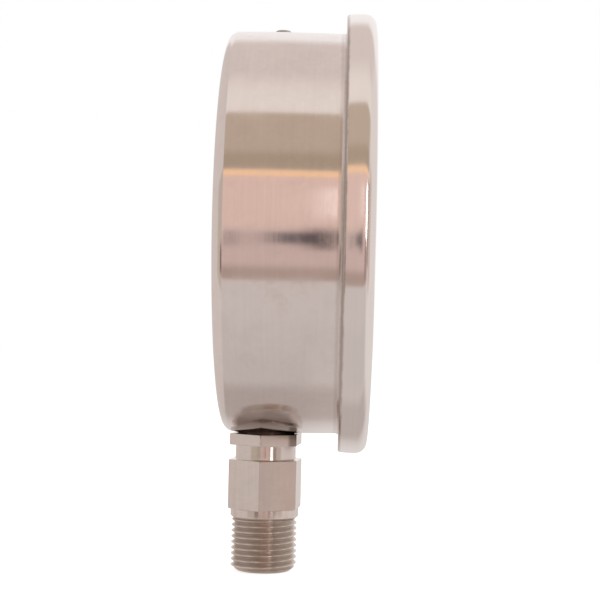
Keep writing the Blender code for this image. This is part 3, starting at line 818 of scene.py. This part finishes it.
def build_stem():
    hex_bottom, hex_top, collar_bottom = -87.35, -71.8, -67.15
    levels = (thread_levels() + hex_levels(hex_bottom, hex_top)
              + neck_levels(hex_top, collar_bottom) + collar_levels(collar_bottom, COLLAR_TOP))
    shape = bmesh.new()
    rings = [[shape.verts.new((0, STEM_Y, levels[0][0]))]]
    for z, radius_at in levels:
        row = []
        for k in range(STEM_SEGMENTS):
            turn = 2 * math.pi * k / STEM_SEGMENTS + HEX_TURN
            radius = radius_at(turn)
            place = (radius * math.cos(turn), STEM_Y + radius * math.sin(turn), z)
            row.append(shape.verts.new(place))
        rings.append(row)
    rings.append([shape.verts.new((0, STEM_Y, levels[-1][0]))])
    strip(shape, rings, closed=False)
    stem = mesh_object("stem_socket", shape, sharp=24)

    socket = block("block_tool", (-5.5, TUBE_Y - 7, -60.4), (5.5, TUBE_Y + 7, BLOCK_TOP))
    cut(stem, socket, "UNION")
    # slot in the block, on a 38 mm circle about the gauge axis
    slot_r, slot_angle = 38, math.radians(259.2)
    cut_slot(stem, low=(-4.2, -6.1, -2.7), high=(4.2, 6.1, 2.7),
             centre=(slot_r * math.cos(slot_angle), TUBE_Y, slot_r * math.sin(slot_angle)),
             turn=-(slot_angle + math.pi / 2))
    for x in (-3.4, 3.4):
        drill(stem, radius=1.2, start=-30, end=-14.2, segments=32, at=(x, 0, -31.5))
    shade(stem.data, 24)
    fit(stem, STEM_STEEL, replaces="stem")


def build_weld():
    """Rippled fillet round the spigot that follows the case's round underside."""
    inner_r, mean_outer_r = 8.95, 10.4
    shape = bmesh.new()
    rings = []
    for k in range(STEM_SEGMENTS):
        turn = 2 * math.pi * k / STEM_SEGMENTS
        across, forth = math.cos(turn), math.sin(turn)

        def case_z(radius):
            """Height of the case's underside at this turn round the stem."""
            wall = wall_radius(STEM_Y + radius * forth)
            return -math.sqrt(max(0.0, wall ** 2 - (radius * across) ** 2))

        ripple = 0.06 * math.sin(turn * 46) + 0.04 * math.sin(turn * 17 + 1.0)
        inner_top = case_z(8.75) + 1.5
        outer_r = mean_outer_r + ripple
        z_low, z_high = COLLAR_TOP + 0.05, case_z(outer_r) + 0.05
        # closed section, (radius, z)
        section = [(8.72, inner_top), (8.72, COLLAR_TOP + 0.04),
                   (inner_r + 0.5 * ripple, COLLAR_TOP + 0.03)]
        for part in (0.25, 0.5, 0.75, 1.0):
            section.append((inner_r + (outer_r - inner_r) * part ** 1.25 + ripple * 0.3,
                            z_low + (z_high - z_low) * part ** 0.8))
        section += [(9.7, case_z(9.7) + 0.6), (9.5, inner_top)]
        rings.append([shape.verts.new((radius * across, STEM_Y + radius * forth, z))
                      for radius, z in section])
    strip(shape, rings)
    weld = mesh_object("stem_weld_bead", shape, sharp=50)
    fit(weld, WELD_STEEL, replaces="stem_weld_ring")


def build_plug():
    """Plug with a narrow shank in the case and a rounded head on top."""
    bottom, top = plug_low[2], plug_high[2]
    shank_r, head_r, head_round = 1.9, 2.6, 0.60
    # closed outline, (radius, z)
    profile = [(0, bottom), (1.5, bottom), (1.8, bottom + 0.25), (shank_r, bottom + 0.6),
               (shank_r, 63.38), (2.45, 63.40), (head_r, 63.48), (head_r, top - head_round)]
    profile += arc(head_r - head_round, top - head_round, head_round, 15, 90, 5)
    profile += [(0, top)]
    plug = turned("fill_plug_moulded", profile, "Z", (0, PLUG_Y, 0), segments=72, sharp=50)
    fit(plug, PLUG_RUBBER, replaces="fill_plug", ride="vent_plug")


# --------------------------------------------------------------------------
# dial: white enamelled plate with a 0 to 10 bar scale
# --------------------------------------------------------------------------
SCALE_R = 54.0                   # outer ends of the marks
FULL_SCALE = 10
ZERO_ANGLE, SCALE_SWEEP = 225.0, 270.0


def scale_angle(value):
    return math.radians(ZERO_ANGLE - SCALE_SWEEP * value / FULL_SCALE)


def build_dial_plate():
    bore = 3.0
    # closed outline, (radius, y)
    profile = [(bore, DIAL_REAR), (DIAL_R - 0.1, DIAL_REAR), (DIAL_R, DIAL_REAR - 0.1),
               (DIAL_R, DIAL_FACE + 0.15), (DIAL_R - 0.15, DIAL_FACE),
               (bore + 0.1, DIAL_FACE), (bore, DIAL_FACE + 0.1)]
    dial = turned("dial_plate", profile, sharp=25)
    for x in (-DIAL_SCREW_X, DIAL_SCREW_X):
        drill(dial, radius=1.0, start=-36, end=-31, segments=40, at=(x, 0, DIAL_SCREW_Z))
    shade(dial.data, 25)
    fit(dial, DIAL_WHITE, replaces="dial")


def build_scale_marks():
    """A mark every 0.1 bar, longer at halves and longest at whole bars."""
    whole, half, tenth = (46.2, 0.95), (48.8, 0.60), (50.8, 0.32)    # (inner radius, width)
    shape = bmesh.new()
    for k in range(FULL_SCALE * 10 + 1):
        inner, width = whole if k % 10 == 0 else half if k % 5 == 0 else tenth
        angle = scale_angle(k / 10)
        across, up = math.cos(angle), math.sin(angle)
        corners = [(inner, -width / 2), (SCALE_R, -width / 2),
                   (SCALE_R, width / 2), (inner, width / 2)]
        outline = [(p * across - q * up, p * up + q * across) for p, q in corners]
        extrude(shape, outline, INK_FACE, INK_BACK)
    fit(mesh_object("dial_scale_marks", shape, sharp=None), PRINT_BLACK)


def build_scale_arc():
    """The arc at the outer ends of the marks."""
    steps = 216
    outer = SCALE_R + 0.45
    section = ((SCALE_R, INK_FACE), (outer, INK_FACE), (outer, INK_BACK), (SCALE_R, INK_BACK))
    shape = bmesh.new()
    rings = []
    for k in range(steps + 1):
        angle = scale_angle(FULL_SCALE * k / steps)
        rings.append([shape.verts.new((r * math.cos(angle), y, r * math.sin(angle)))
                      for r, y in section])
    strip(shape, rings, closed=False)
    shape.faces.new(rings[0])
    shape.faces.new(rings[-1])
    fit(mesh_object("dial_scale_arc", shape, sharp=None), PRINT_BLACK)


def lettering(name, text, x, z, size):
    """Text centred at (x, z) on the dial, turned into a mesh."""
    curve = bpy.data.curves.new(name, "FONT")
    curve.body = text
    curve.size = size * MM
    curve.align_x = "CENTER"
    curve.align_y = "CENTER"
    curve.extrude = 0.035 * MM
    curve.resolution_u = 8
    writing = link_object(name + "_tmp", curve)
    writing.location = Vector((x, DIAL_FACE - 0.015, z)) * MM
    writing.rotation_euler = (math.radians(90), 0, 0)
    bpy.context.view_layer.update()
    graph = bpy.context.evaluated_depsgraph_get()
    mesh = bpy.data.meshes.new_from_object(writing.evaluated_get(graph))
    mesh.transform(writing.matrix_world)
    bpy.data.objects.remove(writing, do_unlink=True)
    mesh.name = name
    fit(link_object(name, mesh), PRINT_BLACK)


def build_lettering():
    number_r = 39.6
    for k in range(FULL_SCALE + 1):
        angle = scale_angle(k)
        lettering(f"dial_number_{k}", str(k), x=number_r * math.cos(angle),
                  z=number_r * math.sin(angle) - 0.2, size=8.0)
    lettering("dial_unit", "bar", x=0, z=-24.0, size=7.5)


def build_dial_screws():
    """Domed, slotted screws either side of the dial's centre."""
    # closed outline, (radius, y)
    profile = [(0, -30.5), (0.55, -30.5), (0.7, -30.65), (0.7, -34.1), (1.9, -34.1),
               (2.0, -34.2), (2.0, -34.45), (1.85, -34.62), (1.3, -34.77),
               (0.6, -34.84), (0, -34.86)]
    for side, x, slot_turn in (("left", -DIAL_SCREW_X, 25), ("right", DIAL_SCREW_X, -40)):
        place = (x, 0, DIAL_SCREW_Z)
        screw = turned(f"dial_screw_head_{side}", profile, at=place, segments=48, sharp=40)
        cut_slot(screw, low=(-3, -35.5, -0.28), high=(3, -34.42, 0.28), centre=place,
                 turn=math.radians(slot_turn))
        fit(screw, SCREW_STEEL, replaces=f"dial_screw_{side}")


def build_stop_pin():
    x, z = (pin_low[0] + pin_high[0]) / 2, (pin_low[2] + pin_high[2]) / 2
    profile = [(0, -32.9), (0.6, -32.9), (0.6, -36.35), (0.45, -36.6), (0, -36.6)]
    pin = turned("zero_stop_pin_turned", profile, at=(x, 0, z), segments=40, sharp=40)
    fit(pin, SCREW_STEEL, replaces="zero_stop_pin")


# --------------------------------------------------------------------------
# pointer and hub
# --------------------------------------------------------------------------
def build_pointer():
    """Tapered blade with a round boss and a counterweight tail, resting at zero."""
    boss_r = 4.5
    # outline, (along the blade, across it)
    outline = [(46.0, -0.22), (46.0, 0.22), (37.0, 0.80)]
    outline += arc(0, 0, boss_r, 17, 163, 24)
    outline += [(-11.0, 1.6), (-15.5, 2.4), (-18.0, 2.2), (-18.8, 0.0),
                (-18.0, -2.2), (-15.5, -2.4), (-11.0, -1.6)]
    outline += arc(0, 0, boss_r, 197, 343, 24)
    outline += [(37.0, -0.80)]
    rest = scale_angle(0)
    across, up = math.cos(rest), math.sin(rest)
    shape = bmesh.new()
    extrude(shape, [(p * across - q * up, p * up + q * across) for p, q in outline],
            pointer_high[1], pointer_low[1])
    pointer = mesh_object("pointer_blade", shape)
    drill(pointer, radius=2.4, start=-38, end=-34, segments=64)
    bevel = pointer.modifiers.new("edges", "BEVEL")
    bevel.width = 0.06 * MM
    bevel.segments = 2
    bevel.limit_method = "ANGLE"
    bevel.angle_limit = math.radians(50)
    fit(pointer, POINTER_BLACK, replaces="pointer", ride="pointer_shaft")


def build_hub():
    # closed outline, (radius, y)
    profile = [(0.9, -34.5), (2.0, -34.5), (2.2, -34.7), (2.2, -36.4), (3.3, -36.4),
               (3.4, -36.5), (3.4, -36.95), (3.2, -37.15), (2.6, -37.35), (1.6, -37.52),
               (0.5, -37.6), (0, -37.6), (0, -37.1), (0.9, -37.1)]
    hub = turned("pointer_hub_turned", profile, segments=72, sharp=40)
    brass = brushed("hub_turned_brass", "Y", colour=BRASS_COLOUR, width_along=0.10,
                    width_around=0.05, streak=0.10, tilt=0.2, density=9000.0)
    fit(hub, brass, replaces="pointer_hub", ride="pointer_shaft")


# --------------------------------------------------------------------------
# movement and pressure tube: CAD shapes with their finishes
# --------------------------------------------------------------------------
BRASS_PARTS = (
    "restrictor_screw", "tube_end_piece", "sector_gear", "hairspring_collet",
    "hairspring_stud", "movement_back_plate", "movement_front_plate", "movement_pillar_1",
    "movement_pillar_2", "movement_pillar_3", "dial_post_left", "dial_post_right",
)
STEEL_PARTS = (
    "link_pin_tip", "link", "link_pin_sector", "sector_arbor", "pinion_arbor",
    "plate_screw_1", "plate_screw_2", "plate_screw_3",
    "movement_mount_screw_1", "movement_mount_screw_2",
)


def paint_movement():
    for names, material in ((BRASS_PARTS, BRASS), (STEEL_PARTS, SCREW_STEEL),
                            (("hairspring",), BRONZE)):
        for name in names:
            paint(CAD[name], material)


def build_tube():
    """Copy of the CAD tube, painted bronze and left in place; its base sits in the socket block.
    """
    source = CAD["bourdon_tube"]
    tube = link_object("pressure_tube_flexing", source.data.copy())
    tube.matrix_world = source.matrix_world.copy()
    fit(tube, BRONZE, replaces="bourdon_tube", ride=None)
    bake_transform(tube)


# --------------------------------------------------------------------------
# studio: white tent with an opening towards the camera, soft lamps, floor
# --------------------------------------------------------------------------
# Directions in degrees. Pitch: 0 towards the camera (-X), 90 up, 180 away from it.
# Side: positive towards the dial (-Y).
TENT = (0.69, 0.60, 0.565)
# pitch from, to, softness at each, colour; later rows lie over earlier ones
TENT_PANELS = (
    (133, 200, 14, 1, (0.94, 0.90, 0.89)),          # roof behind
    (64, 88, 3, 24, (0.82, 0.74, 0.69)),            # roof edge, a little brighter
    (31, 65.3, 1.5, 3.0, (0.52, 0.41, 0.33)),       # olive cloth over the opening
    (31, 41, 1.2, 7, (0.42, 0.33, 0.25)),           # its darker lower part
    (-3, 27.7, 5, 1.6, (0.74, 0.535, 0.47)),        # warm wall
    (27.3, 30.5, 1.0, 0.8, (1.02, 0.64, 0.38)),     # lit edge of the cloth
    (-28.4, -2, 3, 6, (0.61, 0.46, 0.42)),          # duller wall below
    (-29.4, -22.0, 2.0, 5, (0.43, 0.32, 0.28)),     # its dark foot
    (-200, -30.4, 1, 2.5, (0.61, 0.545, 0.52)),     # table
    (-92, -52, 14, 14, (0.585, 0.525, 0.505)),      # table, camera side
    (-135, -98, 14, 14, (0.50, 0.435, 0.41)),       # darker table past the gauge
    (-200, -142, 1, 24, (0.72, 0.67, 0.65)),        # table behind
)
# side angle where it begins, where it is full, colour
TENT_SIDES = (
    (-15, -21, (0.66, 0.59, 0.56)),
    (28, 46, (0.76, 0.70, 0.67)),
)
# (side from, to, softness at each), (pitch from, to, softness at each), colour
TENT_PATCHES = (
    # cloth beside the opening
    ((-55, -17, 10, 3), (-36, 31, 6, 4), (0.53, 0.46, 0.395)),
    # soft lamp beside the camera, its dark side and its warm stand
    ((20.5, 29, 1.5, 2.0), (-9, 22, 5, 3), (3.2, 3.0, 2.9)),
    ((31.5, 44, 2, 3), (-22, 27, 4, 3), (0.34, 0.295, 0.26)),
    ((15, 27, 3, 3), (-27, -5, 6, 3), (0.36, 0.22, 0.19)),
    # narrow bright strip above the camera
    ((2.1, 3.2, 2.4, 1.0), (5, 21, 7, 7), (1.40, 1.18, 1.10)),
    # the camera itself, with a black strip on its dial side
    ((-3.0, 2.6, 3.6, 0.4), (-9.2, -3.2, 3.4, 3.0), (0.12, 0.10, 0.105)),
    ((0.8, 2.6, 3.6, 0.4), (-12.2, -0.6, 4.0, 4.0), (0.0, 0.0, 0.0)),
    # thin dark line, and a dark patch further from the dial side
    ((-7.9, -6.9, 0.4, 0.3), (-11.0, -3.0, 3, 3), (0.05, 0.04, 0.04)),
    ((-30, -17, 4, 3), (-27, -11, 4, 4), (0.20, 0.15, 0.13)),
    # warm side wall mirrored by the hex
    ((44, 62, 3, 8), (-40, 40, 20, 20), (0.60, 0.475, 0.435)),
)


def build_world():
    """Reflections see the tent; the camera sees plain white."""
    world = bpy.data.worlds.new("studio_tent")
    bpy.context.scene.world = world
    tree = Tree(world)
    x, y, z = tree.separate(tree.node("ShaderNodeTexCoord").outputs["Generated"])
    to_degrees = 180 / math.pi
    pitch = tree.times(tree.math("ARCTAN2", z, tree.times(x, -1.0)), to_degrees)
    side = tree.times(tree.math("ARCSINE", tree.times(y, -1.0)), to_degrees)

    colour = (*TENT, 1.0)
    for *extent, panel in TENT_PANELS:
        colour = tree.mix(tree.band(pitch, *extent), colour, panel)
    for begin, full, panel in TENT_SIDES:
        colour = tree.mix(tree.step(side, begin, full), colour, panel)
    for side_extent, pitch_extent, patch in TENT_PATCHES:
        factor = tree.times(tree.band(side, *side_extent), tree.band(pitch, *pitch_extent))
        colour = tree.mix(factor, colour, patch)

    tent = tree.node("ShaderNodeBackground", {"Color": colour, "Strength": 1.0})
    white = tree.node("ShaderNodeBackground", {"Color": (1, 1, 1, 1), "Strength": 1.0})
    camera_ray = tree.node("ShaderNodeLightPath").outputs["Is Camera Ray"]
    mixed = tree.node("ShaderNodeMixShader",
                      {0: camera_ray, 1: tent.outputs[0], 2: white.outputs[0]})
    tree.node("ShaderNodeOutputWorld", {0: mixed.outputs[0]})


# name, place in metres, power in watts, colour; all aim at the origin
LAMPS = (
    ("key_soft", (-0.35, -0.75, 0.55), 4.0, (1.0, 0.98, 0.96)),
    ("fill_soft", (0.6, -0.6, 0.25), 2.0, (1.0, 0.99, 0.98)),
    ("back_soft", (0.2, 0.7, 0.6), 2.0, (1.0, 0.99, 0.98)),
)
LAMP_SIZE = 0.6


def build_lamps():
    """Soft area lamps that leave no reflection of their own."""
    for name, place, power, colour in LAMPS:
        light = bpy.data.lights.new(name, "AREA")
        light.energy = power
        light.size = LAMP_SIZE
        light.color = colour
        lamp = link_object(name, light)
        lamp.location = place
        lamp.rotation_euler = (-Vector(place)).to_track_quat("-Z", "Y").to_euler()
        lamp.visible_glossy = False


def build_floor():
    """Pale, softly glowing floor just below the stem's end."""
    gap = 0.0002
    shape = bmesh.new()
    bmesh.ops.create_grid(shape, x_segments=1, y_segments=1, size=6.0)
    mesh = bpy.data.meshes.new("studio_floor")
    shape.to_mesh(mesh)
    shape.free()
    floor = link_object("studio_floor", mesh)
    floor.location = (0, 0, cad_box[0].z - gap)
    material, tree = new_material("floor_white")
    diffuse = tree.node("ShaderNodeBsdfDiffuse", {0: (0.55, 0.55, 0.55, 1)})
    glow = tree.node("ShaderNodeEmission", {"Strength": 0.72})
    both = tree.node("ShaderNodeAddShader", {0: diffuse.outputs[0], 1: glow.outputs[0]})
    tree.node("ShaderNodeOutputMaterial", {0: both.outputs[0]})
    mesh.materials.append(material)
    floor.visible_glossy = False


def build_camera():
    """Looks along +X at the gauge's side, the dial to the right, slightly rolled."""
    place = (-425.9615, -34.9, -34.2)
    roll = math.radians(1.308)
    camera = bpy.data.cameras.new("camera")
    camera.lens = 79.74
    camera.sensor_width = 36.0
    camera.clip_start = 0.01
    camera.clip_end = 50
    camera.shift_x = -0.0595
    camera.shift_y = 0.0713333
    holder = link_object("camera", camera)
    right = Vector((0, -math.cos(roll), math.sin(roll)))
    up = Vector((0, math.sin(roll), math.cos(roll)))
    backward = Vector((-1, 0, 0))
    rotation = Matrix((right, up, backward)).transposed()
    holder.matrix_world = Matrix.Translation(Vector(place) * MM) @ rotation.to_4x4()
    bpy.context.scene.camera = holder


def set_view():
    view = bpy.context.scene.view_settings
    view.view_transform = "Standard"
    view.look = "None"
    view.exposure = 0.0
    view.gamma = 1.0


# --------------------------------------------------------------------------
# build
# --------------------------------------------------------------------------
build_case()
build_ring()
build_window()
build_gasket()
build_stem()
build_weld()
build_plug()
build_dial_plate()
build_scale_marks()
build_scale_arc()
build_lettering()
build_dial_screws()
build_stop_pin()
build_pointer()
build_hub()
paint_movement()
build_tube()
build_world()
build_lamps()
build_floor()
build_camera()
set_view()
